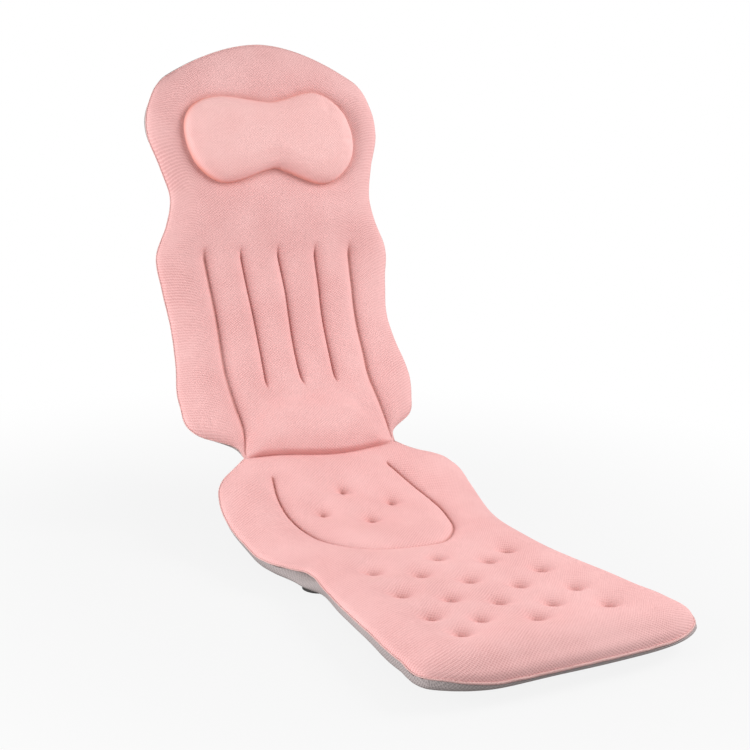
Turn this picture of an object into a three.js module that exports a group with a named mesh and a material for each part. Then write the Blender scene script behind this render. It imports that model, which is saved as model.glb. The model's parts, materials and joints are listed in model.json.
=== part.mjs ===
// Full-length bath pillow: a padded seat mat and a padded back mat sewn together at a fold,
// with a head pillow on the back and suction cups under both. Millimetres, +Z up.
// The mat is described along its middle line: u runs across it, s runs along it from the fold
// (negative towards the foot, positive towards the head) and h stands square to its seam plane.
import * as THREE from 'three';

// Fits
const CLEAR = 0.3;
const SEAM_GAP = 0.15;
const FILL_SLACK = 1.2;

// Side profile: the seat lies flat and curves up to the fold, the back curves up to a straight head
const SEAT_CURVE_LENGTH = 214;
const SEAT_CURVE_TURN = THREE.MathUtils.degToRad(39);
const BACK_CURVE_LENGTH = 326;
const BACK_CURVE_TURN = THREE.MathUtils.degToRad(39);

// Layers
const TOP_FABRIC = 2.5;
const BASE_FABRIC = 2;
const SEAT_CROWN = 13;
const SEAT_BELLY = 15.5;
const BACK_CROWN = 15;
const BACK_BELLY = 10;
const EDGE_ROUND = 38;
const LEAST_BORDER = 8;
const BORDER_STEPS = [0.22, 0.5, 0.85, 1];
const END_STEPS = [0.45, 0.75, 0.92, 1];

// Fold
const FOLD_HALF_WIDTH = 120;
const FOLD_SETBACK = 4;
const FOLD_ROUND = 60;
const FOLD_TAPE_THICKNESS = 1.6;

// Seat pad: a sewn line round the place to sit, open towards the fold, with four tufts inside
const PAD_LINE_START = 42;
const PAD_MIDDLE = 143;
const PAD_REACH = 130;
const PAD_HALF_WIDTH = 113;
const PAD_POWER = 4;
const PAD_LINE_DEPTH = 7;
const PAD_TUFT_BACK = 88;
const PAD_TUFT_STEP = 40;
const PAD_FRONT = PAD_MIDDLE + PAD_REACH;

// Leg tufts, in staggered rows of three and two
const PAD_TO_TUFTS = 54;
const TUFT_ROWS = 7;
const TUFT_ROW_PITCH = 33.8;
const TUFT_COLUMN_PITCH = 100;
const TUFT_DEPTH = 8;
const TUFT_REACH = 16;
const FIRST_TUFT = PAD_FRONT + PAD_TO_TUFTS;
const LAST_TUFT = FIRST_TUFT + (TUFT_ROWS - 1) * TUFT_ROW_PITCH;

// Back channels, and the lumbar swell below them
const CHANNEL_PITCH = 59;
const CHANNEL_DEPTH = 9;
const CHANNEL_LENGTH = 222;
const CHANNEL_FADE = 18;
const CHANNEL_SHOULDER = 12;
const SHOULDER_DEPTH = 3.6;
const LUMBAR_LENGTH = 98;
const LUMBAR_RISE = 7;
const LUMBAR_LINE_DEPTH = 5;
const LUMBAR_STEPS = [0.12, 0.3, 0.54, 0.79];
const CHANNEL_TOP = LUMBAR_LENGTH + CHANNEL_LENGTH;

// Neck, and the bone-shaped head pillow
const CHANNEL_TO_NECK = 73;
const NECK_TO_PILLOW = 89;
const PILLOW_HALF_WIDTH = 138;
const PILLOW_LOBE_OUT = 78;
const PILLOW_LOBE_UP = 66;
const PILLOW_LOBE_DOWN = 70;
const PILLOW_END_OUT = 124;
const PILLOW_END_UP = 40;
const PILLOW_DIP_UP = 55;
const PILLOW_DIP_DOWN = 48;
const PILLOW_RISE = 20;
const PILLOW_POWER = 4;
const PILLOW_SIDES = 24;
const PILLOW_RINGS = [1, 0.9, 0.7, 0.4];
const NECK = CHANNEL_TOP + CHANNEL_TO_NECK;
const PILLOW_MIDDLE = NECK + NECK_TO_PILLOW;

// Edge of each mat: half-widths and where they are, then a rounded end
const FLARE_START = 20;
const FLARE_END = 45;
const SEAT_FLARE_HALF = 147;
const SEAT_SHOULDER_HALF = 181;
const HIP_AT = 100;
const HIP_HALF = 189;
const KNEE_BEFORE_TUFTS = 9;
const KNEE_HALF = 168;
const CALF_BEFORE_FOOT = 80;
const CALF_HALF = 184;
const FOOT_PAST_TUFTS = 10;
const FOOT_HALF = 191;
const FOOT_CORNER = 50;
const FOOT_CORNER_HALF = 184;
const FOOT_END_FROM = 14;
const FOOT_BULGE = 37;
const FOOT_POWER = 5;
const FOOT_AT = LAST_TUFT + FOOT_PAST_TUFTS;
const SEAT_EDGE = {
  turns: [
    { at: 0, half: FOLD_HALF_WIDTH },
    { at: FLARE_START, half: SEAT_FLARE_HALF },
    { at: FLARE_END, half: SEAT_SHOULDER_HALF },
    { at: HIP_AT, half: HIP_HALF },
    { at: FIRST_TUFT - KNEE_BEFORE_TUFTS, half: KNEE_HALF },
    { at: FOOT_AT - CALF_BEFORE_FOOT, half: CALF_HALF },
    { at: FOOT_AT, half: FOOT_HALF },
    { at: FOOT_AT + FOOT_CORNER, half: FOOT_CORNER_HALF },
  ],
  endFrom: FOOT_AT + FOOT_END_FROM,
  bulge: FOOT_BULGE,
  power: FOOT_POWER,
};
const BACK_FLARE_HALF = 126;
const BACK_HIP_HALF = 170;
const LUMBAR_HALF = 188;
const WAIST_BELOW_SHOULDER = 106;
const WAIST_HALF = 177;
const SHOULDER_BELOW_CHANNELS = 4;
const SHOULDER_HALF = 187;
const NECK_SLOPE = 36;
const NECK_SLOPE_HALF = 170;
const NECK_HALF = 162;
const HEAD_ABOVE_PILLOW = 8;
const HEAD_HALF = 186;
const HEAD_SIDE = 40;
const HEAD_SIDE_HALF = 181;
const HEAD_CORNER = 38;
const HEAD_CORNER_HALF = 157;
const HEAD_BULGE = 53.5;
const HEAD_POWER = 1.8;
const SHOULDER_AT = CHANNEL_TOP - SHOULDER_BELOW_CHANNELS;
const HEAD_AT = PILLOW_MIDDLE + HEAD_ABOVE_PILLOW;
const HEAD_SIDE_AT = HEAD_AT + HEAD_SIDE;
const BACK_EDGE = {
  turns: [
    { at: 0, half: FOLD_HALF_WIDTH },
    { at: FLARE_START, half: BACK_FLARE_HALF },
    { at: FLARE_END, half: BACK_HIP_HALF },
    { at: LUMBAR_LENGTH, half: LUMBAR_HALF },
    { at: SHOULDER_AT - WAIST_BELOW_SHOULDER, half: WAIST_HALF },
    { at: SHOULDER_AT, half: SHOULDER_HALF },
    { at: NECK - NECK_SLOPE, half: NECK_SLOPE_HALF },
    { at: NECK, half: NECK_HALF },
    { at: HEAD_AT, half: HEAD_HALF },
    { at: HEAD_SIDE_AT, half: HEAD_SIDE_HALF },
    { at: HEAD_SIDE_AT + HEAD_CORNER, half: HEAD_CORNER_HALF },
  ],
  endFrom: HEAD_SIDE_AT,
  bulge: HEAD_BULGE,
  power: HEAD_POWER,
};

// Suction cups: each has a mushroom head that snaps into a socket under the base fabric
const CUP_SIDES = 12;
const CUP_RADIUS = 20.5;
const CUP_LIP = 1.6;
const CUP_WALL = 2.2;
const CUP_STAND = 14;
const CUP_FLARE = 1.6;
const CUP_HOLLOW = 2;
const CUP_OUTER_STEPS = [0, 0.35, 0.7, 1];
const CUP_INNER_STEPS = [1, 0.75, 0.5, 0];
const STEM_RADIUS = 4;
const STEM_SHOWING = 1.5;
const STUD_RADIUS = 6.6;
const STUD_THICKNESS = 1.8;
const SOCKET_RADIUS = 13;
const SOCKET_HEIGHT = 4;
const SOCKET_BEVEL = 1;
const FOOT_CUP_PAST_TUFTS = 6;
const FOOT_CUP_OUT = 112;
const CALF_CUP_IN_TUFTS = 110;
const THIGH_CUP_BEFORE_TUFTS = 74;
const LEG_CUP_OUT = 126;
const LUMBAR_CUP_ABOVE = 35;
const LUMBAR_CUP_OUT = 130;
const SHOULDER_CUP_ABOVE = 10;
const SHOULDER_CUP_OUT = 124;
const HEAD_CUP_ABOVE = 44;
const HEAD_CUP_OUT = 96;
const SEAT_CUPS = [
  { name: 'foot', s: -LAST_TUFT - FOOT_CUP_PAST_TUFTS, u: FOOT_CUP_OUT },
  { name: 'calf', s: -LAST_TUFT + CALF_CUP_IN_TUFTS, u: LEG_CUP_OUT },
  { name: 'thigh', s: -FIRST_TUFT + THIGH_CUP_BEFORE_TUFTS, u: LEG_CUP_OUT },
];
const BACK_CUPS = [
  { name: 'lumbar', s: LUMBAR_LENGTH + LUMBAR_CUP_ABOVE, u: LUMBAR_CUP_OUT },
  { name: 'shoulder', s: CHANNEL_TOP + SHOULDER_CUP_ABOVE, u: SHOULDER_CUP_OUT },
  { name: 'head', s: PILLOW_MIDDLE + HEAD_CUP_ABOVE, u: HEAD_CUP_OUT },
];

const MATERIALS = {
  pinkMesh: { color: 0xefb6b4, roughness: 0.9 },
  pillowMesh: { color: 0xf8c2be, roughness: 0.9 },
  greyMesh: { color: 0xb4aaa9, roughness: 0.9 },
  fibre: { color: 0xf2f0ec, roughness: 1 },
  cupVinyl: { color: 0x3a3a3c, roughness: 0.35 },
  socketVinyl: { color: 0xcfcac8, roughness: 0.5 },
};

function part(name, geometry, material) {
  const mesh = new THREE.Mesh(geometry, new THREE.MeshStandardMaterial(material));
  mesh.name = name;
  return mesh;
}

// Point of the middle line at distance s from the fold, and the line's tilt there
function profileAt(s) {
  const length = s < 0 ? SEAT_CURVE_LENGTH : BACK_CURVE_LENGTH;
  const turn = s < 0 ? SEAT_CURVE_TURN : BACK_CURVE_TURN;
  const radius = length / turn;
  const along = THREE.MathUtils.clamp(s, -length, length);
  const straight = s - along;
  const tilt = SEAT_CURVE_TURN + along / radius;
  return {
    tilt,
    y: radius * (Math.sin(tilt) - Math.sin(SEAT_CURVE_TURN)) + straight * Math.cos(tilt),
    z: radius * (Math.cos(SEAT_CURVE_TURN) - Math.cos(tilt)) + straight * Math.sin(tilt),
  };
}

function place(u, s, h) {
  const { tilt, y, z } = profileAt(s);
  return new THREE.Vector3(u, y - h * Math.sin(tilt), z + h * Math.cos(tilt));
}

// Smooth half-width through the turns of an edge: each span is a cubic with its neighbours' slopes
function halfWidthAt(turns, distance) {
  const last = turns.length - 1;
  const slope = (i) => {
    const before = turns[Math.max(i - 1, 0)];
    const after = turns[Math.min(i + 1, last)];
    return (after.half - before.half) / (after.at - before.at);
  };
  const i = Math.max(turns.findLastIndex((turn, n) => n < last && turn.at <= distance), 0);
  const span = turns[i + 1].at - turns[i].at;
  const t = (distance - turns[i].at) / span;
  const step = t * t * (3 - 2 * t) * (turns[i + 1].half - turns[i].half);
  const bend = span * t * (1 - t) * ((1 - t) * slope(i) - t * slope(i + 1));
  return turns[i].half + step + bend;
}

// Quarter round from a sewn edge up to the full crown, and a softer rise from the fold
function edgeRound(distance) {
  const inward = THREE.MathUtils.clamp(distance / EDGE_ROUND, 0, 1);
  return Math.sqrt(1 - (1 - inward) ** 2);
}

function foldRound(distance) {
  return Math.sin((Math.PI / 2) * THREE.MathUtils.clamp(distance / FOLD_ROUND, 0, 1));
}

// Columns across a mat: the sewn ones, drawn in where the mat is narrow, then those out to its edge
function columnsAt(half, sewn, beside) {
  const widest = sewn[sewn.length - 1].u;
  const inner = Math.min(widest, half - LEAST_BORDER);
  const right = [
    ...sewn.map((column) => ({ ...column, u: (column.u * inner) / widest })),
    { u: inner + (half - inner) * BORDER_STEPS[0], beside, fine: true },
    ...BORDER_STEPS.slice(1).map((step) => ({ u: inner + (half - inner) * step })),
  ];
  const left = right.slice(1).reverse().map((column) => ({ ...column, u: -column.u }));
  return [...left, ...right];
}

// Grid of points over one mat. Rows run from the fold to the end, and the last four bow out to it.
// Fine rows and columns are there for the top cover alone.
function makeMat({ side, edge, rows, sewnAt, beside, bend, crown, belly, sewing, swell }) {
  const corner = edge.turns[edge.turns.length - 1].at;
  const bowedRows = END_STEPS.map((reach) => ({
    at: edge.endFrom + reach * (corner - edge.endFrom),
    reach,
  }));
  const grid = [...rows, ...bowedRows].map((row) => {
    const half = halfWidthAt(edge.turns, row.at);
    const cells = columnsAt(half, sewnAt(row.at), beside).map((column) => {
      const { u } = column;
      const end = corner + edge.bulge * (1 - (Math.abs(u) / half) ** edge.power);
      const bowed = edge.endFrom + row.reach * (end - edge.endFrom);
      const distance = row.reach ? bowed : bend(row, column);
      const fullness = edgeRound(half - Math.abs(u)) * edgeRound(end - distance)
        * foldRound(distance - FOLD_SETBACK);
      return {
        u,
        s: side * distance,
        fine: column.fine,
        sewn: (crown - sewing(row, column)) * fullness,
        swell: swell(row, column),
        drop: belly * fullness,
      };
    });
    return { fine: row.fine, cells };
  });
  return side < 0 ? grid.reverse() : grid;
}

// Closed layer between two heights over a mat, less some rows and columns round its rim.
// Each cell is split along its lower diagonal, so that sewn lines stay unbroken and layers nest.
function layer(grid, top, bottom, { fine = false, firstRow = 0, lastRow = 0, rim = 0 } = {}) {
  const block = grid.filter((row) => fine || !row.fine)
    .map((row) => row.cells.filter((cell) => fine || !cell.fine))
    .slice(firstRow, lastRow || undefined)
    .map((cells) => cells.slice(rim, cells.length - rim));
  const across = block[0].length;
  const cells = block.flat();
  const positions = [];
  for (const height of [top, bottom]) {
    for (const cell of cells) positions.push(...place(cell.u, cell.s, height(cell)).toArray());
  }
  const upper = (j, k) => j * across + k;
  const lower = (j, k) => cells.length + j * across + k;
  const form = (j, k) => block[j][k].sewn + block[j][k].swell;
  const index = [];
  const quad = (a, b, c, d) => index.push(a, b, c, a, c, d);
  for (let j = 0; j < block.length - 1; j += 1) {
    for (let k = 0; k < across - 1; k += 1) {
      const corners = [[j, k], [j, k + 1], [j + 1, k + 1], [j + 1, k]];
      const turned = form(j, k + 1) + form(j + 1, k) < form(j, k) + form(j + 1, k + 1);
      const [a, b, c, d] = turned ? [...corners.slice(1), corners[0]] : corners;
      quad(upper(...a), upper(...b), upper(...c), upper(...d));
      quad(lower(...c), lower(...b), lower(...a), lower(...d));
    }
  }
  const wall = (from, to) => quad(lower(...from), lower(...to), upper(...to), upper(...from));
  const [lastJ, lastK] = [block.length - 1, across - 1];
  for (let k = 0; k < lastK; k += 1) {
    wall([0, k], [0, k + 1]);
    wall([lastJ, k + 1], [lastJ, k]);
  }
  for (let j = 0; j < lastJ; j += 1) {
    wall([j + 1, 0], [j, 0]);
    wall([j, lastK], [j + 1, lastK]);
  }
  return meshOf(positions, index);
}

function meshOf(positions, index) {
  const geometry = new THREE.BufferGeometry();
  geometry.setAttribute('position', new THREE.Float32BufferAttribute(positions, 3));
  geometry.setIndex(index);
  return geometry;
}

function even(from, to, steps) {
  return Array.from({ length: steps }, (_, i) => from + ((to - from) * (i + 1)) / steps);
}

// Seat mat: columns on the tufts and beside them, the outermost of which follows the pad's line
const padHalfAt = (distance) => {
  const along = Math.min(Math.abs(distance - PAD_MIDDLE) / PAD_REACH, 1);
  return PAD_HALF_WIDTH * Math.sqrt(1 - along ** PAD_POWER);
};
const padFrontAt = (u) => {
  const across = Math.min(Math.abs(u) / PAD_HALF_WIDTH, 1);
  return PAD_MIDDLE + PAD_REACH * (1 - across ** 2) ** (1 / PAD_POWER);
};
const PAD_TUFTS = [PAD_TUFT_BACK, PAD_TUFT_BACK + PAD_TUFT_STEP, PAD_TUFT_BACK + 2 * PAD_TUFT_STEP];
const tuftRows = Array.from({ length: TUFT_ROWS }, (_, i) => ({
  at: FIRST_TUFT + i * TUFT_ROW_PITCH,
  tufts: i % 2 ? ['half'] : ['middle', 'outer'],
}));
const seatRows = [
  { at: FOLD_SETBACK },
  ...even(FOLD_SETBACK, PAD_LINE_START, 3).map((at) => ({ at })),
  { at: (PAD_LINE_START + PAD_TUFT_BACK) / 2, padSide: true },
  ...PAD_TUFTS.map((at, i) => ({ at, padSide: true, tufts: i === 1 ? ['half'] : ['middle'] })),
  ...even(PAD_TUFTS[2], PAD_FRONT, 3).slice(0, 2).map((at) => ({ at, padSide: true })),
  { at: PAD_FRONT, padFront: true },
  { at: (PAD_FRONT + FIRST_TUFT) / 2 },
  ...tuftRows.flatMap((row) => [row, { at: row.at + TUFT_ROW_PITCH / 2, fine: true }]).slice(0, -1),
  { at: SEAT_EDGE.endFrom },
];
const seatGrid = makeMat({
  side: -1,
  edge: SEAT_EDGE,
  rows: seatRows,
  sewnAt: (distance) => {
    const beside = distance > PAD_LINE_START && distance < PAD_FRONT;
    const half = TUFT_COLUMN_PITCH / 2;
    const outer = beside ? padHalfAt(distance) : TUFT_COLUMN_PITCH;
    return [
      { u: 0, mark: 'middle', inPad: true },
      { u: TUFT_REACH, inPad: true, fine: true },
      { u: half - TUFT_REACH, inPad: true, fine: true },
      { u: half, mark: 'half', inPad: true },
      { u: half + TUFT_REACH, inPad: true, fine: true },
      { u: outer - TUFT_REACH, inPad: true },
      { u: outer, mark: 'outer' },
    ];
  },
  bend: (row, column) => (row.padFront && column.inPad ? padFrontAt(column.u) : row.at),
  crown: SEAT_CROWN,
  belly: SEAT_BELLY,
  sewing: (row, column) => {
    if (row.tufts?.includes(column.mark)) return TUFT_DEPTH;
    const onPadLine = row.padSide ? column.mark === 'outer' : row.padFront && column.inPad;
    return onPadLine ? PAD_LINE_DEPTH : 0;
  },
  swell: () => 0,
});

// Back mat: columns on the five channel lines, on their shoulders and midway between them
const ALL_LINES = ['middle', 'inner', 'outer'];
const backRows = [
  { at: FOLD_SETBACK },
  ...LUMBAR_STEPS.map((step) => ({
    at: FOLD_SETBACK + step * (LUMBAR_LENGTH - FOLD_SETBACK),
    lumbar: Math.sin(Math.PI * step),
    lines: ['outer'],
  })),
  { at: LUMBAR_LENGTH, lumbarTop: true, lines: ['outer'] },
  { at: LUMBAR_LENGTH + CHANNEL_FADE, lines: ALL_LINES },
  ...even(LUMBAR_LENGTH + CHANNEL_FADE, CHANNEL_TOP, 4).map((at) => ({ at, lines: ALL_LINES })),
  { at: CHANNEL_TOP + CHANNEL_FADE },
  { at: NECK },
  ...even(NECK, BACK_EDGE.endFrom, 2).map((at) => ({ at })),
];
const backGrid = makeMat({
  side: 1,
  edge: BACK_EDGE,
  rows: backRows,
  sewnAt: () => [
    { u: 0, mark: 'middle', inLumbar: true },
    { u: CHANNEL_SHOULDER, beside: 'middle', inLumbar: true, fine: true },
    { u: CHANNEL_PITCH / 2, inLumbar: true },
    { u: CHANNEL_PITCH - CHANNEL_SHOULDER, beside: 'inner', inLumbar: true, fine: true },
    { u: CHANNEL_PITCH, mark: 'inner', inLumbar: true },
    { u: CHANNEL_PITCH + CHANNEL_SHOULDER, beside: 'inner', fine: true },
    { u: 1.5 * CHANNEL_PITCH },
    { u: 2 * CHANNEL_PITCH - CHANNEL_SHOULDER, beside: 'outer', fine: true },
    { u: 2 * CHANNEL_PITCH, mark: 'outer' },
  ],
  beside: 'outer',
  bend: (row) => row.at,
  crown: BACK_CROWN,
  belly: BACK_BELLY,
  sewing: (row, column) => {
    if (row.lines?.includes(column.mark)) return CHANNEL_DEPTH;
    if (row.lines?.includes(column.beside)) return SHOULDER_DEPTH;
    return row.lumbarTop && column.inLumbar ? LUMBAR_LINE_DEPTH : 0;
  },
  swell: (row, column) => {
    const across = Math.min(Math.abs(column.u) / (2 * CHANNEL_PITCH), 1);
    return (row.lumbar ?? 0) * LUMBAR_RISE * Math.cos((Math.PI / 2) * across);
  },
});

// Covers and filling of one mat, nested inside each other
const underCover = (cell) => SEAM_GAP + cell.sewn + cell.swell;
const fillingTop = (cell) => SEAM_GAP + cell.sewn - FILL_SLACK;
const overBase = (cell) => -SEAM_GAP - cell.drop;

function matLayers(name, grid) {
  const cover = layer(grid, (cell) => underCover(cell) + TOP_FABRIC, underCover, { fine: true });
  const coarseRows = grid.filter((row) => !row.fine).length;
  const filling = layer(grid, fillingTop, (cell) => overBase(cell) + CLEAR, {
    firstRow: 1,
    lastRow: coarseRows - 1,
    rim: 1,
  });
  const base = layer(grid, overBase, (cell) => overBase(cell) - BASE_FABRIC);
  return [
    part(`${name}_top_cover`, cover, MATERIALS.pinkMesh),
    part(`${name}_filling`, filling, MATERIALS.fibre),
    part(`${name}_base_cover`, base, MATERIALS.greyMesh),
  ];
}

// Extra pad between the back's filling and its cover, reaching across the inner channels
function lumbarPad() {
  const firstRow = backRows.findIndex((row) => row.lumbar);
  const rim = backGrid[0].cells.filter((cell) => !cell.fine && cell.u < -1.5 * CHANNEL_PITCH).length;
  const pad = layer(
    backGrid,
    (cell) => underCover(cell) - CLEAR,
    (cell) => fillingTop(cell) + CLEAR,
    { firstRow, lastRow: firstRow + LUMBAR_STEPS.length, rim },
  );
  return part('lumbar_pad', pad, MATERIALS.fibre);
}

// Head pillow: a dome over a bone-shaped outline, its cover hollow for the filling
function pillowDome(rings, top, bottom) {
  const outline = new THREE.CatmullRomCurve3([
    [PILLOW_HALF_WIDTH, 0],
    [PILLOW_END_OUT, PILLOW_END_UP],
    [PILLOW_LOBE_OUT, PILLOW_LOBE_UP],
    [0, PILLOW_DIP_UP],
    [-PILLOW_LOBE_OUT, PILLOW_LOBE_UP],
    [-PILLOW_END_OUT, PILLOW_END_UP],
    [-PILLOW_HALF_WIDTH, 0],
    [-PILLOW_END_OUT, -PILLOW_END_UP],
    [-PILLOW_LOBE_OUT, -PILLOW_LOBE_DOWN],
    [0, -PILLOW_DIP_DOWN],
    [PILLOW_LOBE_OUT, -PILLOW_LOBE_DOWN],
    [PILLOW_END_OUT, -PILLOW_END_UP],
  ].map(([u, s]) => new THREE.Vector3(u, s, 0)), true, 'catmullrom');
  const seat = SEAM_GAP + BACK_CROWN + TOP_FABRIC + CLEAR;
  const positions = [];
  const index = [];
  const turn = (i) => i % PILLOW_SIDES;
  const addSurface = (height) => {
    const start = positions.length / 3;
    for (const ring of rings) {
      for (let i = 0; i < PILLOW_SIDES; i += 1) {
        const p = outline.getPoint(i / PILLOW_SIDES).multiplyScalar(ring);
        positions.push(...place(p.x, PILLOW_MIDDLE + p.y, seat + height(ring)).toArray());
      }
    }
    positions.push(...place(0, PILLOW_MIDDLE, seat + height(0)).toArray());
    return start;
  };
  const upper = addSurface(top);
  const lower = addSurface(bottom);
  const at = (start, ring, i) => start + ring * PILLOW_SIDES + turn(i);
  const quad = (a, b, c, d) => index.push(a, b, c, a, c, d);
  const inmost = rings.length - 1;
  const peak = rings.length * PILLOW_SIDES;
  for (let i = 0; i < PILLOW_SIDES; i += 1) {
    for (let r = 0; r < inmost; r += 1) {
      quad(at(upper, r, i), at(upper, r, i + 1), at(upper, r + 1, i + 1), at(upper, r + 1, i));
      quad(at(lower, r, i + 1), at(lower, r, i), at(lower, r + 1, i), at(lower, r + 1, i + 1));
    }
    index.push(at(upper, inmost, i), at(upper, inmost, i + 1), upper + peak);
    index.push(at(lower, inmost, i + 1), at(lower, inmost, i), lower + peak);
    quad(at(lower, 0, i), at(lower, 0, i + 1), at(upper, 0, i + 1), at(upper, 0, i));
  }
  return meshOf(positions, index);
}

function headPillow() {
  const dome = (ring) => PILLOW_RISE * Math.sqrt(1 - ring ** PILLOW_POWER);
  const cover = pillowDome(PILLOW_RINGS, (ring) => dome(ring) + TOP_FABRIC, dome);
  const filling = pillowDome(PILLOW_RINGS.slice(1), (ring) => dome(ring) - CLEAR, () => 0);
  return [
    part('head_pillow_cover', cover, MATERIALS.pillowMesh),
    part('head_pillow_filling', filling, MATERIALS.fibre),
  ];
}

// Tape in the fold that both mats are sewn to
function foldTape() {
  const width = 2 * (FOLD_SETBACK - CLEAR);
  const strip = new THREE.BoxGeometry(2 * FOLD_HALF_WIDTH, width, FOLD_TAPE_THICKNESS);
  const tape = part('fold_tape', strip, MATERIALS.pinkMesh);
  tape.rotation.x = SEAT_CURVE_TURN;
  return tape;
}

// One suction cup and its socket, turned about an axis that points away from the base fabric
function lathe(points) {
  return new THREE.LatheGeometry(points.map(([r, y]) => new THREE.Vector2(r, y)), CUP_SIDES);
}

function socketGeometry() {
  const ledge = 2 * CLEAR + STUD_THICKNESS;
  const bore = STEM_RADIUS + CLEAR;
  const recess = STUD_RADIUS + CLEAR;
  return lathe([
    [recess, 0],
    [SOCKET_RADIUS, 0],
    [SOCKET_RADIUS, SOCKET_HEIGHT - SOCKET_BEVEL],
    [SOCKET_RADIUS - SOCKET_BEVEL, SOCKET_HEIGHT],
    [bore, SOCKET_HEIGHT],
    [bore, ledge],
    [recess, ledge],
    [recess, 0],
  ]);
}

function cupGeometry() {
  const neck = SOCKET_HEIGHT + STEM_SHOWING;
  const mouth = CUP_RADIUS - CUP_LIP;
  const crest = neck + CUP_WALL;
  const flare = CUP_RADIUS - STEM_RADIUS;
  const outer = (f) => [STEM_RADIUS + f * flare, neck + f ** CUP_FLARE * (CUP_STAND - neck)];
  const inner = (f) => [f * mouth, crest + f ** CUP_HOLLOW * (CUP_STAND - crest)];
  return lathe([
    [0, CLEAR],
    [STUD_RADIUS, CLEAR],
    [STUD_RADIUS, CLEAR + STUD_THICKNESS],
    [STEM_RADIUS, CLEAR + STUD_THICKNESS],
    ...CUP_OUTER_STEPS.map(outer),
    ...CUP_INNER_STEPS.map(inner),
  ]);
}

function cupPair({ name, s, u }, belly) {
  const under = -SEAM_GAP - belly - BASE_FABRIC - CLEAR;
  return [['left', -u], ['right', u]].flatMap(([side, across]) => {
    const pieces = [
      part(`${name}_${side}_socket`, socketGeometry(), MATERIALS.socketVinyl),
      part(`${name}_${side}_cup`, cupGeometry(), MATERIALS.cupVinyl),
    ];
    for (const piece of pieces) {
      piece.position.copy(place(across, s, under));
      piece.rotation.x = profileAt(s).tilt - Math.PI / 2;
    }
    return pieces;
  });
}

const seat = new THREE.Group();
seat.add(...matLayers('seat', seatGrid), foldTape());
for (const pair of SEAT_CUPS) seat.add(...cupPair(pair, SEAT_BELLY));

const back = new THREE.Group();
back.add(...matLayers('back', backGrid), lumbarPad(), ...headPillow());
for (const pair of BACK_CUPS) back.add(...cupPair(pair, BACK_BELLY));

// The seat's cups stand on the plane z = 0, and the middle pair of them is at y = 0
const seatSeamHeight = CUP_STAND + CLEAR + BASE_FABRIC + SEAT_BELLY + SEAM_GAP;
const calf = profileAt(SEAT_CUPS[1].s);
const bathPillow = new THREE.Group();
bathPillow.add(seat, back);
bathPillow.position.set(0, -calf.y, seatSeamHeight - calf.z);

export default bathPillow;
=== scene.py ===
# %% [markdown]
# # A full-length bath pillow
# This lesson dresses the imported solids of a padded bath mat: a tufted seat mat and a channelled back
# mat, sewn together at a fold, with a bone-shaped head pillow and suction cups underneath.
# The solids are the fixed frame. Every soft solid is replaced by a sewn and filled piece that sits in
# the same place, and the cups are turned again with more sides. All lengths below are in millimetres
# until `place` turns them into metres.

# %% Load the frame
import json
import math

import bmesh
import bpy
import numpy as np
from mathutils import Matrix, Vector
from mathutils.kdtree import KDTree

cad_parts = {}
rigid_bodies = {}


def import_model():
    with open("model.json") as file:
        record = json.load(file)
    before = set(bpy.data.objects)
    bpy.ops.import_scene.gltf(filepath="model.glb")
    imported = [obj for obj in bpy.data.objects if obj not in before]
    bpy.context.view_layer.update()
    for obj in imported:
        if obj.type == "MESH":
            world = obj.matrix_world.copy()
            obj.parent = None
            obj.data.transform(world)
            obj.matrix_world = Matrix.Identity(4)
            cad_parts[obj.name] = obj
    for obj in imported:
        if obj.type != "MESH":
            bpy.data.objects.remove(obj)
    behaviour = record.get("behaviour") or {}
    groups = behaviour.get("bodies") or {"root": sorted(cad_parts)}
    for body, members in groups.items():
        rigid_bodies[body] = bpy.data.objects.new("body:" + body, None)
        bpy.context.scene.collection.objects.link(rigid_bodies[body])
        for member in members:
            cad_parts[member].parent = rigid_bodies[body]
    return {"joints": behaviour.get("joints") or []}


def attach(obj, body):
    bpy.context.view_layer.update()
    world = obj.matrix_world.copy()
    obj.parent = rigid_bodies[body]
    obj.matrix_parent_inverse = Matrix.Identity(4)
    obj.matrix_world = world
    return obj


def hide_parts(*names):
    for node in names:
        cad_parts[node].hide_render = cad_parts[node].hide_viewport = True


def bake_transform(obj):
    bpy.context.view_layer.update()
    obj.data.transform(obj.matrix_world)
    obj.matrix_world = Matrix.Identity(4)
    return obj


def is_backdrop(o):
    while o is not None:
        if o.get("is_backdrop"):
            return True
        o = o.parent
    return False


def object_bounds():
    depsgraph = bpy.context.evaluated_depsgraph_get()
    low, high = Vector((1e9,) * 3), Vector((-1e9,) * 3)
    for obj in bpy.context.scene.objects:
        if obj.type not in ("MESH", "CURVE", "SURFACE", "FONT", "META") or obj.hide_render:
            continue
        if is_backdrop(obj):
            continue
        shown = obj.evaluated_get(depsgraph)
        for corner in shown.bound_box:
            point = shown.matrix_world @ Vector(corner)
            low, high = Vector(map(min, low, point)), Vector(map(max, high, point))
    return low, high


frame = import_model()
cad_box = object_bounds()
MM = 0.001
fold_joint = next(j for j in frame["joints"] if j["name"] == "back_fold")
FOLD = np.array(fold_joint["pos_m"])
print("fold line at", FOLD, "m")

# %% [markdown]
# ## The camera
# The photo was taken with a short telephoto lens from the front left, a little above the mat. A camera
# could be aimed by eye, but then every later comparison would mix up shape and view. Here its angles
# and distance come from fitting the mat's outline to the photo: the numbers are where the fold's middle
# lies from the camera, to its right, above it and ahead of it.

# %% Camera
LENS_MM = 64.5
AZIMUTH, ELEVATION, ROLL = (math.radians(angle) for angle in (-30.39, 12.56, 2.12))
FOLD_FROM_CAMERA = Vector((-0.0759, -0.1064, 1.9126))

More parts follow.
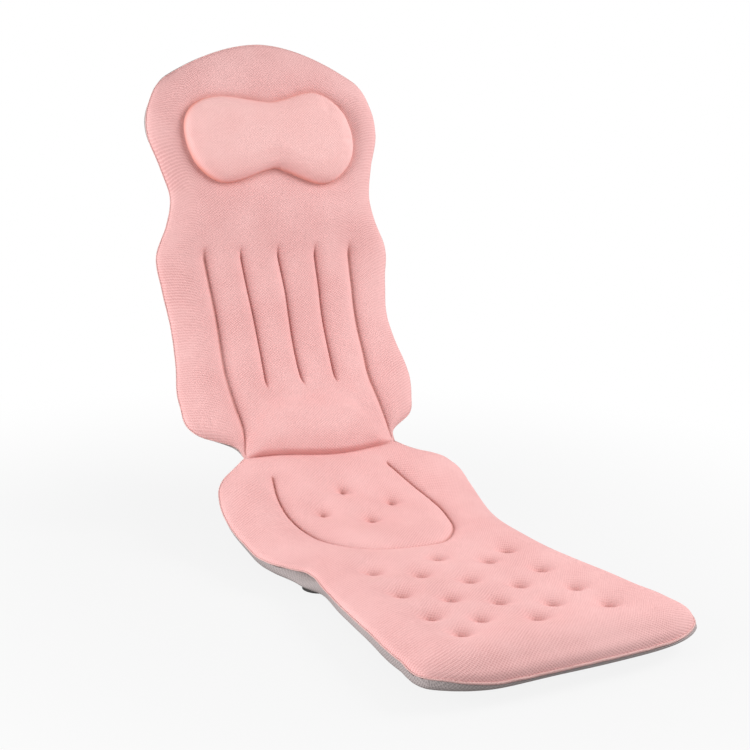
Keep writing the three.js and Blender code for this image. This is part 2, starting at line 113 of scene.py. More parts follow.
level = math.cos(ELEVATION)
back = Vector((math.sin(AZIMUTH) * level, -math.cos(AZIMUTH) * level, math.sin(ELEVATION)))
right = Matrix.Rotation(ROLL, 3, back) @ Vector((math.cos(AZIMUTH), math.sin(AZIMUTH), 0))
up = back.cross(right)
eye = Vector(FOLD) - right * FOLD_FROM_CAMERA.x - up * FOLD_FROM_CAMERA.y + back * FOLD_FROM_CAMERA.z

bpy.ops.object.camera_add()
camera = bpy.context.object
camera.name = "photo_camera"
camera.matrix_world = Matrix((right, up, back)).transposed().to_4x4()
camera.location = eye
camera.data.lens = LENS_MM
camera.data.sensor_width = 36
bpy.context.scene.camera = camera
print("camera at", [round(x, 3) for x in eye])

# %% [markdown]
# ## The mat's middle line
# The mat is easiest to think of laid out flat: `u` runs across it, `s` runs along it from the fold
# (towards the foot below zero, towards the head above), and `h` stands square to the plane of its side
# seams. One function then bends that flat mat to the way it lies: the seat flat and curving up to the
# fold, the back curving on up to a straight head. A curve modifier could do the bending, but a function
# also lets cups, seams and the pillow ask where the mat is.

# %% Bending the flat mat
SEAT_CURVE, BACK_CURVE, CURVE_TURN = 214.0, 326.0, math.radians(39)


def middle_line(s):
    """y, z and tilt of the middle line, from the fold, at the distances s along the mat."""
    length = np.where(s < 0, SEAT_CURVE, BACK_CURVE)
    radius = length / CURVE_TURN
    along = np.clip(s, -length, length)
    tilt = CURVE_TURN + along / radius
    y = radius * (np.sin(tilt) - math.sin(CURVE_TURN)) + (s - along) * np.cos(tilt)
    z = radius * (math.cos(CURVE_TURN) - np.cos(tilt)) + (s - along) * np.sin(tilt)
    return y, z, tilt


def place(u, s, h):
    """Points of the bent mat in metres, one row each."""
    u, s, h = np.broadcast_arrays(*(np.asarray(x, float) for x in (u, s, h)))
    y, z, tilt = middle_line(s)
    flat = np.stack([u, y - h * np.sin(tilt), z + h * np.cos(tilt)], axis=-1)
    return flat * MM + FOLD


def outward(s):
    """Direction away from the mat's underside at s."""
    tilt = middle_line(np.asarray(s, float))[2]
    return np.stack([np.zeros_like(tilt), -np.sin(tilt), np.cos(tilt)], axis=-1)


print("head stands", place(0, 600, 0).round(3), "m")

# %% [markdown]
# ## The cut of the mat
# Each mat is cut to a wavy outline: narrow at the fold, wide at the hips, drawn in at the knee or the
# waist and the neck, and rounded at the end. The half-widths are read off the photo through the camera
# above, left and right apart, because padded cloth never lies quite evenly. A smooth cubic runs through
# them, and past the last one the end bows out.

# %% Cut
SEAT_CUT = {
    "left": [(0, 120), (16, 142), (31, 162), (45, 173), (67, 181), (110, 187), (163, 186), (212, 185),
             (240, 176), (258, 164), (272, 155), (288, 153), (325, 159), (365, 165), (400, 169),
             (465, 175), (540, 181), (590, 177)],
    "right": [(0, 120), (18, 146), (32, 177), (56, 195), (106, 197), (140, 191), (195, 178), (230, 171),
              (284, 167), (351, 166), (404, 171), (456, 180), (500, 185), (545, 191), (590, 182)],
    "end_from": 554, "bulge": 28, "power": 5, "end_slope": -0.9,
}
BACK_CUT = {
    "left": [(0, 120), (20, 128), (45, 173), (97, 188), (155, 180), (210, 177), (265, 182), (316, 185),
             (357, 167), (393, 158), (440, 170), (490, 186), (530, 180), (568, 153)],
    "right": [(0, 120), (20, 126), (45, 164), (75, 179), (105, 187), (135, 186), (165, 180), (210, 175),
              (265, 182), (316, 188), (357, 173), (393, 166), (440, 173), (490, 185), (530, 178),
              (568, 152)],
    "end_from": 530, "bulge": 51, "power": 1.8, "end_slope": -1.4,
}


def half_width(cut, side, distance):
    """Half-width of one side at a distance from the fold."""
    at, half = np.array(cut[side], float).T
    slope = np.gradient(half, at)
    slope[-1] = cut["end_slope"]
    i = np.clip(np.searchsorted(at, distance, side="right") - 1, 0, len(at) - 2)
    span = at[i + 1] - at[i]
    t = (distance - at[i]) / span
    step = t * t * (3 - 2 * t) * (half[i + 1] - half[i])
    bend = span * t * (1 - t) * ((1 - t) * slope[i] - t * slope[i + 1])
    return half[i] + step + bend


print("the left knee is", half_width(SEAT_CUT, "left", 288.0).round(1), "mm from the middle")

# %% [markdown]
# ## Grids of cloth
# Cloth that will swell needs an even grid of points. Rows run straight across from the fold and bow out
# with the end. Columns crowd together at the edge, where the cloth turns down, and on the back beside
# each channel too, because that is where it bends most.

# %% Grids
FOLD_SETBACK, FIRST_EVEN_ROW, LEAST_BORDER = 0.1, 7, 8
WALL_ROWS = [FOLD_SETBACK, 2.4, 4.4]
BORDER = 1 - (1 - np.linspace(0, 1, 13)[1:]) ** 1.7
TUFTED_HALF, CHANNEL_PITCH, OUTER_CHANNEL = 113, 59, 118
BESIDE_CHANNEL = np.array([0, 1.6, 4.2, 8, 13, 19, 24.5, CHANNEL_PITCH / 2])


def lay_grid(cut, inner, rows_to_end, rows_in_end):
    """u and distance from the fold over a mat: straight rows first, then rows that bow out to the end.
    The inner columns keep their u, and the border columns share what is left out to the edge."""
    corner = cut["left"][-1][0]
    straight = np.concatenate([WALL_ROWS, np.linspace(FIRST_EVEN_ROW, cut["end_from"], rows_to_end)])
    reach = np.sin(np.linspace(0, math.pi / 2, rows_in_end + 1))[1:]
    level = np.concatenate([straight, cut["end_from"] + reach * (corner - cut["end_from"])])
    sides = {}
    for side in ("left", "right"):
        half = half_width(cut, side, level)[:, None]
        widest = np.minimum(inner[-1], half - LEAST_BORDER)
        columns = np.concatenate([inner / inner[-1] * widest, widest + (half - widest) * BORDER], axis=1)
        end = corner + cut["bulge"] * (1 - (columns / half) ** cut["power"])
        bowed = cut["end_from"] + reach[:, None] * (end[-rows_in_end:] - cut["end_from"])
        even = np.broadcast_to(straight[:, None], (len(straight), end.shape[1]))
        sides[side] = columns, np.concatenate([even, bowed])
    (left_u, left_d), (right_u, right_d) = sides["left"], sides["right"]
    u = np.concatenate([-left_u[:, :0:-1], right_u], axis=1)
    return u, np.concatenate([left_d[:, :0:-1], right_d], axis=1)


def pairs(u, d):
    """Points as rows of (u, distance)."""
    return np.stack([np.ravel(u), np.ravel(d)], axis=1)


def edge_of(u, d):
    """The sewn side and end of a mat as one line of points."""
    return pairs(*(np.concatenate([x[:, 0], x[-1, 1:-1], x[::-1, -1]]) for x in (u, d)))


seat_u, seat_d = lay_grid(SEAT_CUT, np.linspace(0, TUFTED_HALF, 37), 148, 16)
back_columns = np.unique([BESIDE_CHANNEL, CHANNEL_PITCH - BESIDE_CHANNEL,
                          CHANNEL_PITCH + BESIDE_CHANNEL, OUTER_CHANNEL - BESIDE_CHANNEL])
back_u, back_d = lay_grid(BACK_CUT, back_columns, 112, 16)
print("seat grid", seat_u.shape, "back grid", back_u.shape)

# %% [markdown]
# ## Sewn lines and tufts
# Where thread goes through the mat was read off the photo in the same way: a line round the seat, open
# towards the fold, tufts inside it and under the legs, five channels up the back, and the outline of the
# pillow. Smooth curves run through the marks, and the back's columns are moved to follow its channels.

# %% Sewn lines
PILLOW_AT = 482.0
FOLLOW_TO, FOLLOW_FADE, BORDER_REACH = 390, 60, 45


def curve_through(points, steps=12, closed=False):
    """Smooth run of points through a few given ones; a closed one ends where it began."""
    before, after = (points[-2], points[1]) if closed else (points[0], points[-1])
    p = np.array([before, *points, after], float)
    t = np.linspace(0, 1, steps, endpoint=False)[:, None]
    spans = [0.5 * (2 * b + (c - a) * t + (2 * a - 5 * b + 4 * c - d) * t ** 2
                    + (3 * b - a - 3 * c + d) * t ** 3)
             for a, b, c, d in zip(p, p[1:], p[2:], p[3:])]
    return np.concatenate([*spans, p[-1:]])


def eased(t):
    """Soft step from 0 to 1."""
    t = np.clip(t, 0, 1)
    return t * t * (3 - 2 * t)


def follow_channels(u, d):
    """Moves the back grid's columns sideways, so that one of them runs along each channel."""
    moved = np.array(u)
    reach = np.where(np.abs(u) > OUTER_CHANNEL, BORDER_REACH, CHANNEL_PITCH)
    for column, marks in channel_marks.items():
        where, at = np.array(marks, float).T
        tent = np.clip(1 - np.abs(u - column) / reach, 0, 1)
        moved += tent * np.interp(d, at, where - column) * eased((FOLLOW_TO - d) / FOLLOW_FADE)
    return moved


pad_line = curve_through([(-96, 44), (-105, 85), (-108, 130), (-102, 180), (-90, 222), (-60, 255), (-8, 272),
                          (46, 271), (88, 230), (107, 180), (110, 140), (100, 90), (86, 44)])
pad_tufts = np.array([(-8, 89), (49, 128), (-3, 166), (-60, 134)], float)
leg_tufts = np.array([(-96, 332), (3, 321), (99, 334), (-46, 361), (56, 356), (-101, 407), (-3, 402),
                      (99, 406), (-55, 441), (43, 439), (-104, 476), (-9, 472), (100, 473), (-56, 504),
                      (45, 501), (-97, 527), (4, 528), (103, 531)], float)
channel_marks = {
    -118: [(-117, 6), (-109, 45), (-110, 87), (-112, 137), (-109, 197), (-110, 244), (-117, 322)],
    -59: [(-57, 99), (-54, 119), (-51, 168), (-51, 216), (-54, 258), (-60, 318)],
    0: [(4, 97), (3, 130), (4, 168), (6, 216), (6, 262), (-1, 326)],
    59: [(57, 104), (59, 140), (60, 168), (61, 216), (63, 262), (61, 322)],
    118: [(118, 6), (117, 70), (114, 112), (116, 150), (116, 187), (117, 225), (119, 260), (119, 324)],
}
channels = [curve_through(marks) for marks in channel_marks.values()]
lumbar_dip = curve_through([(-92, 58), (-78, 78), (-44, 86), (4, 86), (48, 88), (76, 70), (92, 44)])
pillow_line = curve_through([(138, -6), (122, 40), (76, 69), (20, 57), (2, 53.5), (-16, 54.5), (-84, 60),
                             (-126, 42), (-138, 5), (-121, -42), (-78, -68), (-15, -51.5), (3, -48),
                             (21, -52.5), (82, -71), (124, -46), (138, -6)], closed=True)[:-1]
pillow_ring = np.concatenate([pillow_line, pillow_line[:1]])
back_u = follow_channels(back_u, back_d)
seat_edge, back_edge = edge_of(seat_u, seat_d), edge_of(back_u, back_d)
print("leg tufts:", len(leg_tufts), "pad tufts:", len(pad_tufts), "channels:", len(channels))

# %% [markdown]
# ## How the quilting shapes the top
# A quilted top is fabric that wants to swell and is held down where thread goes through it. So its
# height is written as one swelling, rounded at the edge, less what each sewn line or tuft pulls in. A
# line's pull is a V at the thread with soft shoulders; a tuft's is a pit in a broad, shallow hollow. The
# loose fibre inside is lumpy, which a few slow waves stand for.

# %% Swellings and pulls
PIT_REACH, HOLLOW_REACH, WAVES = 11, 23, 6


def distance_to_line(points, line):
    """Shortest distance from each point to a run of straight pieces."""
    best = np.full(len(points), np.inf)
    for start, step in zip(line, np.diff(line, axis=0)):
        t = np.clip((points - start) @ step / max(np.linalg.norm(step), 1e-9) ** 2, 0, 1)
        best = np.minimum(best, np.linalg.norm(points - (start + t[:, None] * step), axis=1))
    return best


def gap_to(points, lines):
    """Distance to the nearest of several sewn lines or tufts."""
    gaps = [distance_to_line(points, line) if len(line) > 1 else np.linalg.norm(points - line[0], axis=1)
            for line in lines]
    return np.min(gaps, axis=0)


def rounded(distance, radius, power=2.2):
    """Rise from a sewn edge to the full height: upright at the seam and level a radius further in."""
    t = np.clip(distance / radius, 0, 1)
    return (1 - (1 - t) ** power) ** (1 / power)


def bell(distance, width):
    """Soft bell: 1 in the middle, next to nothing at twice the width."""
    return np.exp(-(distance / width) ** 2)


def crease(gap, depth, width):
    """Pull of a sewn line: sharp at the thread, soft on its shoulders."""
    return depth * np.exp(-np.sqrt((gap / width) ** 2 + 0.02) + 0.14)


def tuft(gap, pit, hollow):
    """Pull of a tuft: a pit at the tie, in the middle of a broad hollow."""
    return pit * np.exp(-(gap / PIT_REACH) ** 1.3) + hollow * bell(gap, HOLLOW_REACH)


def lumps(points, seed, size):
    """Slow uneven waves of loose fibre, between -1 and 1."""
    rng = np.random.default_rng(seed)
    draws = (rng.uniform(*span, WAVES) for span in ((0, math.pi), (0.6, 1.5), (0, 6.3)))
    return sum(np.sin(points @ (math.cos(a), math.sin(a)) / size / k + p) for a, k, p in zip(*draws)) / WAVES


print("a pit of 10 mm is", round(tuft(20.0, 10, 0), 1), "mm deep at 20 mm from its tie")

# %% [markdown]
# ## The sewn fold
# Both tops are sewn into one line at the fold, so both have to reach the same height there. The line
# stands a little above the plane of the side seams, hangs towards the seat, most to the right of its
# middle, and the roll above it leans over it.

# %% Fold line
FOLD_HALF, FOLD_RISE, FOLD_ROUND = 119, 4.5, 40
FOLD_SAG, SAG_AT, SAG_WIDTH, SAG_REACH, SAG_ENDS = 13, 25, 80, 45, 25
ROLL_LEAN, LEAN_FROM, LEAN_REACH = 1.5, 3, 8


def fold_height(u):
    """Height of the sewn line: high in the middle, low at its ends."""
    ends = rounded(FOLD_HALF + 1 - np.abs(u), FOLD_ROUND)
    return FOLD_RISE * np.clip(1 - (u / FOLD_HALF) ** 4, 0, 1) * ends


def from_fold(u, d, full, radius, power=2.2):
    """Rise from the sewn fold to the full height."""
    return fold_height(u) + (full - fold_height(u)) * rounded(d - FOLD_SETBACK, radius, power)


def fold_sag(u, d):
    """How far the sewn fold hangs down towards the seat."""
    ends = np.sqrt(np.clip((FOLD_HALF - np.abs(u)) / SAG_ENDS, 0, 1))
    return FOLD_SAG * bell(u - SAG_AT, SAG_WIDTH) * ends * bell(d, SAG_REACH)


def roll_overhang(u, d):
    """How far the roll above the fold leans over it."""
    across = np.clip(1 - (u / OUTER_CHANNEL) ** 2, 0, 1)
    up = np.clip((d - FOLD_SETBACK) / LEAN_FROM, 0, 1) * bell(d - WALL_ROWS[-1], LEAN_REACH)
    return ROLL_LEAN * across * up


fold_line = np.array([(u, fold_sag(u, 0)) for u in np.linspace(-FOLD_HALF, FOLD_HALF, 35)])
print("the fold hangs by up to", fold_line[:, 1].max().round(1), "mm")

# %% [markdown]
# ## Heights of the tops
# The seat swells evenly, and its edge wraps down over the foot end and its right corner. The back has an
# extra pad above the fold, which stands out as a lumbar swell, and a shallow dip between that and the
# lower ends of the inner channels.

# %% Heights
SEAM_GAP, LUMP_HEIGHT = 0.15, 0.7
SEAT_CROWN, SEAT_ROUND, SEAT_FOLD_ROUND = 16.0, ([480, 600], [40, 42]), 60
BACK_CROWN, BACK_ROUND, BACK_FOLD_ROUND, BACK_HELD_FROM = 16.4, 42, 34, 24
FOOT_WRAP, WRAP_FROM, WRAP_LENGTH, CORNER_FROM, CORNER_WIDTH = 8.0, 560, 50, -180, 80
LUMBAR_RISE, LUMBAR_MIDDLE, LUMBAR_HALF, LUMBAR_TOP = 8, -4, ([0, 100], [112, 54]), 92
CHANNEL_TOP, CHANNEL_FOOT, CHANNEL_FADE, INNER_CHANNELS = 332, 92, 28, 90
# Depth and width of each sewn line's pull, and pit and hollow of each tuft's.
PAD_LINE_PULL, CHANNEL_PULL, PILLOW_PULL = (8.5, 8), (10.5, 8), (3.5, 6)
PAD_TUFT_PULL, LEG_TUFT_PULL, LUMBAR_PULL = (12, 2), (14, 2), (0, 4.5)


def seam_drop(points):
    """How far the seat's seam lies under its own plane where the top wraps down."""
    u, d = points.T
    return FOOT_WRAP * eased((d - WRAP_FROM) / WRAP_LENGTH) * eased((u - CORNER_FROM) / CORNER_WIDTH)


def channel_ends(u, d):
    """Channels fade in at their upper ends, and the inner ones at their lower ends too."""
    lower = np.where(np.abs(u) < INNER_CHANNELS, eased((d - CHANNEL_FOOT) / CHANNEL_FADE), 1)
    return eased((CHANNEL_TOP - d) / CHANNEL_FADE) * lower


def seat_form(points):
    """Smooth swelling of the seat's top, and its height with the quilting pulled in."""
    full = SEAT_CROWN * rounded(gap_to(points, [seat_edge]), np.interp(points[:, 1], *SEAT_ROUND))
    share = from_fold(*points.T, full, SEAT_FOLD_ROUND, power=1.35) / SEAT_CROWN
    pull = crease(gap_to(points, [pad_line]), *PAD_LINE_PULL)
    pull = np.maximum(pull, tuft(gap_to(points, pad_tufts[:, None]), *PAD_TUFT_PULL))
    pull = np.maximum(pull, tuft(gap_to(points, leg_tufts[:, None]), *LEG_TUFT_PULL))
    wrapped = SEAT_CROWN * share - seam_drop(points) * (1 - share)
    return wrapped, wrapped - share * (pull - LUMP_HEIGHT * lumps(points, seed=3, size=24))


def back_form(points):
    """The same for the back's top, with the lumbar swell above the fold."""
    u, d = points.T
    inside = np.interp(d, *LUMBAR_HALF) - np.abs(u - LUMBAR_MIDDLE)
    hump = eased(inside / 30 + 0.3) * eased((LUMBAR_TOP - d) / 40)
    full = rounded(gap_to(points, [back_edge]), BACK_ROUND)
    pull = crease(gap_to(points, channels), *CHANNEL_PULL) * channel_ends(u, d)
    pull = np.maximum(pull, tuft(gap_to(points, [lumbar_dip]), *LUMBAR_PULL))
    pull = np.maximum(pull, crease(gap_to(points - [0, PILLOW_AT], [pillow_ring]), *PILLOW_PULL))
    lifted = from_fold(u, d, BACK_CROWN * full + LUMBAR_RISE * hump, BACK_FOLD_ROUND)
    held = full * rounded(d - FOLD_SETBACK, BACK_HELD_FROM)
    return lifted, lifted - held * (pull - LUMP_HEIGHT * lumps(points, seed=5, size=26))


print("the foot's seam drops by up to", seam_drop(seat_edge).max().round(1), "mm")

# %% [markdown]
# ## Helpers for finishes
# Finishes are made of nodes, because a pattern of nodes stays sharp at any size and needs no picture.
# Colours are written as on a screen and turned into the linear values that light adds up in.

# %% Helpers for finishes


def linear(hex_colour):
    """sRGB hex to the linear values that shaders take."""
    parts = [int(hex_colour[i:i + 2], 16) / 255 for i in (1, 3, 5)]
    return (*[c / 12.92 if c <= 0.04045 else ((c + 0.055) / 1.055) ** 2.4 for c in parts], 1)


def add(tree, kind, inputs=None, **settings):
    """One node with its settings; an input is a value, or the output socket that it is linked to."""
    node = tree.nodes.new("ShaderNode" + kind)
    for key, value in settings.items():
        setattr(node, key, value)
    for key, value in (inputs or {}).items():
        if isinstance(value, bpy.types.NodeSocket):
            tree.links.new(value, node.inputs[key])
        else:
            node.inputs[key].default_value = value
    return node


def calc(tree, operation, *values):
    return add(tree, "Math", dict(enumerate(values)), operation=operation).outputs[0]


def ramp(tree, *values, kind="LINEAR"):
    """A value taken from one range (start, end) to another."""
    return add(tree, "MapRange", dict(enumerate(values)), interpolation_type=kind).outputs[0]


def mix(tree, share, one, other):
    return add(tree, "Mix", {0: share, 6: one, 7: other}, data_type="RGBA").outputs[2]


def noise(tree, where, size_mm, detail=2.0):
    """Outputs of a noise: its value first, then its colour."""
    return add(tree, "TexNoise", {"Vector": where, "Scale": 1 / (size_mm * MM), "Detail": detail}).outputs


def blank(name):
    material = bpy.data.materials.new(name)
    material.use_nodes = True
    material.node_tree.nodes.clear()
    return material, material.node_tree


# %% [markdown]
# ## Fabric
# The mat's top is a knitted spacer fabric, the open "3D" mesh of sports shoes: two net faces held apart
# by fine threads. To the eye it is a soft, matt net of small openings that are darker than the yarn
# around them, with a faint sheen where it turns away. The pattern reads the piece's UV map, which holds
# lengths along the cloth in metres, so the net follows it round every curve.

# Shade along the sewn creases and in the tuft pits is painted into the colour, as a warmer, darker tone.
# %% Spacer mesh
WANDER_MM, WANDER_OVER_MM, FIBRE_MM, PATCH_MM = 1.6, 5, 1.1, 70
OPENING_ACROSS, OPENING_ALONG = 1.5, 1.3


def knitted_mesh(name, yarn, shade, opening_mm, depth_mm, sheen, patch, painted_crease_shade):
    """Net of lens-shaped openings in staggered rows, lit softly, with painted shade along sewn creases and
    in tuft pits.
    """
    material, tree = blank(name)
    place_on = add(tree, "TexCoord").outputs
    uneven = noise(tree, place_on["UV"], WANDER_OVER_MM)["Color"]
    on_cloth = add(tree, "VectorMath", {0: uneven, 1: (WANDER_MM * MM,) * 3, 2: place_on["UV"]},
                   operation="MULTIPLY_ADD").outputs[0]
    split = add(tree, "SeparateXYZ", {0: on_cloth}).outputs
    across = calc(tree, "MULTIPLY", split[0], math.pi / (OPENING_ACROSS * opening_mm * MM))
    along = calc(tree, "MULTIPLY", split[1], math.pi / (OPENING_ALONG * opening_mm * MM))
    rising, falling = (calc(tree, "SINE", calc(tree, way, across, along)) for way in ("ADD", "SUBTRACT"))
    net = calc(tree, "ABSOLUTE", calc(tree, "MULTIPLY", rising, falling))
    openings = ramp(tree, net, 0.1, 0.8, 0.0, 1.0, kind="SMOOTHSTEP")
    fibre = noise(tree, place_on["Object"], FIBRE_MM)[0]
    worn = noise(tree, place_on["Object"], PATCH_MM, 3.0)[0]
    showing = ramp(tree, worn, 0.35, 0.65, 0.6, 0.2)
    yarn_tone = mix(tree, worn, linear(yarn), linear(patch))
    woven = mix(tree, calc(tree, "MULTIPLY", openings, showing), yarn_tone, linear(shade))
    # The attribute read here holds painted shade, noted by press_in along sewn creases and in tuft pits; it
    # mixes the base colour towards the crease shade tone.
    groove_and_shade = add(tree, "Attribute", attribute_name="groove_and_shade").outputs["Fac"]
    relief = calc(tree, "SUBTRACT", calc(tree, "MULTIPLY", fibre, 0.25), openings)
    bump = add(tree, "Bump", {"Height": relief, "Strength": 0.6, "Distance": depth_mm * MM})
    shader = add(tree, "BsdfPrincipled", {
        "Base Color": mix(tree, groove_and_shade, woven, linear(painted_crease_shade)),
        "Roughness": ramp(tree, fibre, 0.3, 0.7, 0.82, 0.98), "Normal": bump.outputs[0], "IOR": 1.5,
        "Sheen Weight": sheen, "Sheen Roughness": 0.45, "Sheen Tint": linear(patch),
        "Specular IOR Level": 0.25,
    })
    add(tree, "OutputMaterial", {"Surface": shader.outputs[0]})
    return material


# Openings are drawn about 3 mm wide, coarser than the real 1.5 to 2 mm, which would not show at this size.
# The mats: a soft, pale pink, rosier in the openings, with a warmer, browner rose painted in as shade along
# sewn creases and in tuft pits.
pink_mesh = knitted_mesh("pink_spacer_mesh", "#F1BBB9", "#D08C8A", 3.0, 0.5, 0.25, "#F4C2C0", "#C57B70")
# The pillow: lighter and nearer to peach, with fainter openings, so that it stands out from the back; the
# painted shade at its sewn rim is an orange rose.
pillow_mesh = knitted_mesh("peach_spacer_mesh", "#F9C4C1", "#E6A5A1", 3.0, 0.4, 0.25, "#FBCCC9", "#E0907F")
# The undersides: a warm grey net with dark openings and hardly any sheen.
grey_mesh = knitted_mesh("grey_net_mesh", "#ADA2A1", "#7A7170", 3.2, 0.6, 0.1, "#B5AAA9", "#7A7170")
# The edge seams: doubled mesh, paler and closer.
seam_mesh = knitted_mesh("pale_seam_mesh", "#F0BFBB", "#DDA5A1", 2.0, 0.3, 0.1, "#F4CBC7", "#DDA5A1")
print("fabrics:", [m.name for m in (pink_mesh, pillow_mesh, grey_mesh, seam_mesh)])

# %% [markdown]
# ## Vinyl
# The suction cups are soft PVC, moulded glossy and half clear, and dark where they are seen at the edge.
# Their buttons are the same stuff in a firmer grade, with a duller skin. A fine noise makes both a
# little uneven, as moulded vinyl is.

# %% Vinyl


def moulded_vinyl(name, tone, other_tone, rough_from, rough_to, clear):
    material, tree = blank(name)
    skin = noise(tree, add(tree, "TexCoord").outputs["Object"], 6, 4.0)[0]
    bump = add(tree, "Bump", {"Height": skin, "Strength": 0.15, "Distance": 0.2 * MM})
    shader = add(tree, "BsdfPrincipled", {
        "Base Color": mix(tree, skin, linear(tone), linear(other_tone)),
        "Roughness": ramp(tree, skin, 0.3, 0.7, rough_from, rough_to), "Normal": bump.outputs[0],
        "IOR": 1.53, "Transmission Weight": clear,
    })
    add(tree, "OutputMaterial", {"Surface": shader.outputs[0]})
    return material


# The cups: dark and shiny, with a little light coming through. The buttons: lighter, dull and solid.
cup_vinyl = moulded_vinyl("soft_grey_vinyl", "#5A5857", "#6A6867", 0.12, 0.25, 0.35)
button_vinyl = moulded_vinyl("firm_grey_vinyl", "#7C7978", "#8A8786", 0.35, 0.5, 0.0)
print("vinyls:", cup_vinyl.name, button_vinyl.name)

# %% [markdown]
# ## Sewing a panel
# A panel starts as a flat grid, the way cloth is cut, and its points are moved to where the sewn cloth
# lies. Each point remembers its `u` and `s`, so that later steps know where on the mat it is. The weave
# gets its own map: lengths measured along the rows and columns of the curved cloth, because a flat map
# would smear the net on the steep rim.

# %% Panels


def points_of(mesh):
    values = np.empty(len(mesh.vertices) * 3, np.float32)
    mesh.vertices.foreach_get("co", values)
    return values.reshape(-1, 3).astype(float)


def write_points(mesh, points):
    mesh.vertices.foreach_set("co", np.asarray(points, np.float32).ravel())
    mesh.update()


def read(mesh, key):
    values = np.empty(len(mesh.vertices), np.float32)
    mesh.attributes[key].data.foreach_get("value", values)
    return values.astype(float)


def note(mesh, key, values):
    """Keeps a value with each point of a mesh."""
    kept = mesh.attributes.get(key) or mesh.attributes.new(key, "FLOAT", "POINT")
    kept.data.foreach_set("value", values.astype(np.float32))


def mode(name):
    bpy.ops.object.mode_set(mode=name)


def spots(panel, toward_head=1):
    """Where each point lies on its mat, as (u, distance) rows."""
    return pairs(read(panel.data, "across_mm"), toward_head * read(panel.data, "along_mm"))


def run_of(points, axis):
    """Length along the rows (1) or columns (0) of a grid of points, in metres."""
    steps = np.linalg.norm(np.diff(points, axis=axis), axis=-1)
    start = np.zeros_like(steps.take([0], axis))
    return np.concatenate([start, np.cumsum(steps, axis)], axis)


def lay_cloth(name, u, s, h, smooth_h, weave=None):
    """Open grid of cloth at (u, s, h); smooth_h, without the quilting, is what the weave is measured on."""
    rows, columns = u.shape
    bpy.ops.mesh.primitive_grid_add(x_subdivisions=columns - 1, y_subdivisions=rows - 1, size=2)
    panel = bpy.context.object
    panel.name = panel.data.name = name
    mesh = panel.data
    flat = points_of(mesh)
    column = np.rint((flat[:, 0] + 1) / 2 * (columns - 1)).astype(int)
    row = np.rint((flat[:, 1] + 1) / 2 * (rows - 1)).astype(int)
    write_points(mesh, place(u, s, h)[row, column])
    smooth = place(u, s, smooth_h)
    across = run_of(smooth, 1)
    across -= across[:, columns // 2:columns // 2 + 1]
    weave_u, weave_v = weave or (across, run_of(smooth, 0))
    for key, values in (("across_mm", u), ("along_mm", s), ("weave_u", weave_u), ("weave_v", weave_v),
                        ("row", np.arange(rows)[:, None] + 0 * u), ("column", np.arange(columns) + 0 * u)):
        note(mesh, key, values[row, column])
    middle = mesh.polygons[len(mesh.polygons) // 2]
    if (middle.normal @ Vector(outward(s[rows // 2, 0]))) * np.sign(h.mean()) < 0:
        mode("EDIT")
        bpy.ops.mesh.select_all(action="SELECT")
        bpy.ops.mesh.flip_normals()
        mode("OBJECT")
    return panel


# %% [markdown]
# ## Filling a panel
# Stuffing a sewn cover is what Blender's cloth does well: the thread lines and the rim are pinned, a
# little air pressure stands for the fibre, and the cloth between them swells and puckers by itself. The
# points may not travel further than a cap, so that the mat keeps the size of its solids.

# %% Cloth filling
FRAMES, SETTLING_ROUNDS, LEAST_FREE = 20, 3, 0.1
CLOTH = {
    "quality": 6, "mass": 0.01, "tension_stiffness": 8, "compression_stiffness": 1, "shear_stiffness": 4,
    "bending_stiffness": 4, "air_damping": 2, "vertex_group_mass": "sewn", "use_pressure": True,
    "use_pressure_volume": True, "target_volume": 0,
}


def pick(piece):
    bpy.ops.object.select_all(action="DESELECT")
    piece.select_set(True)
    bpy.context.view_layer.objects.active = piece


def grid_place(mesh):
    """Row and column of each point in the grid that the cloth was laid as."""
    return read(mesh, "row").astype(int), read(mesh, "column").astype(int)


def at_rim(panel):
    row, column = grid_place(panel.data)
    return (row == 0) | (row == row.max()) | (column == 0) | (column == column.max())


def nearest(points, others):
    """Distance from each point to the nearest of the others."""
    finder = KDTree(len(others))
    for i, (u, s) in enumerate(others):
        finder.insert((u, s, 0), i)
    finder.balance()
    return np.array([finder.find((u, s, 0))[2] for u, s in points])


def settled(move, row, column, pinned):
    """Averages the free moves with their neighbours on the grid: thick mesh holds no small wrinkles."""
    grid = np.zeros((row.max() + 1, column.max() + 1, 3))
    grid[row, column] = move
    for _ in range(SETTLING_ROUNDS):
        wide = np.pad(grid, ((1, 1), (1, 1), (0, 0)), mode="edge")
        near = wide[:-2, 1:-1] + wide[2:, 1:-1] + wide[1:-1, :-2] + wide[1:-1, 2:]
        grid = 0.5 * grid + 0.125 * near
        grid[row[pinned], column[pinned]] = 0
    return grid[row, column]


def fill(panel, pinned, pressure, cap_mm, reach_mm=30):
    """Swells the cloth between its pinned points by cap_mm at most, and by less within reach_mm of one."""
    mesh = panel.data
    start = points_of(mesh)
    group = panel.vertex_groups.new(name="sewn")
    group.add([int(i) for i in np.flatnonzero(pinned)], 1.0, "REPLACE")
    pick(panel)
    cloth = panel.modifiers.new("filling", "CLOTH")
    for key, value in CLOTH.items():
        setattr(cloth.settings, key, value)
    cloth.settings.uniform_pressure_force = pressure
    cloth.settings.effector_weights.gravity = 0
    cloth.point_cache.frame_start, cloth.point_cache.frame_end = 1, FRAMES
    for step in range(1, FRAMES + 1):
        bpy.context.scene.frame_set(step)
    bpy.ops.object.modifier_apply(modifier=cloth.name)
    bpy.context.scene.frame_set(1)
    panel.vertex_groups.clear()
    move = settled(points_of(mesh) - start, *grid_place(mesh), pinned)
    far = np.linalg.norm(move, axis=1) / MM
    flat = spots(panel)
    free = np.clip(nearest(flat, flat[pinned]) / reach_mm, LEAST_FREE, 1)
    allowed = np.minimum(1, cap_mm * free / np.maximum(far, 1e-6))
    write_points(mesh, start + move * allowed[:, None])
    print(panel.name, "swelled by up to", (far * allowed).max().round(1), "mm, mean", far.mean().round(2))
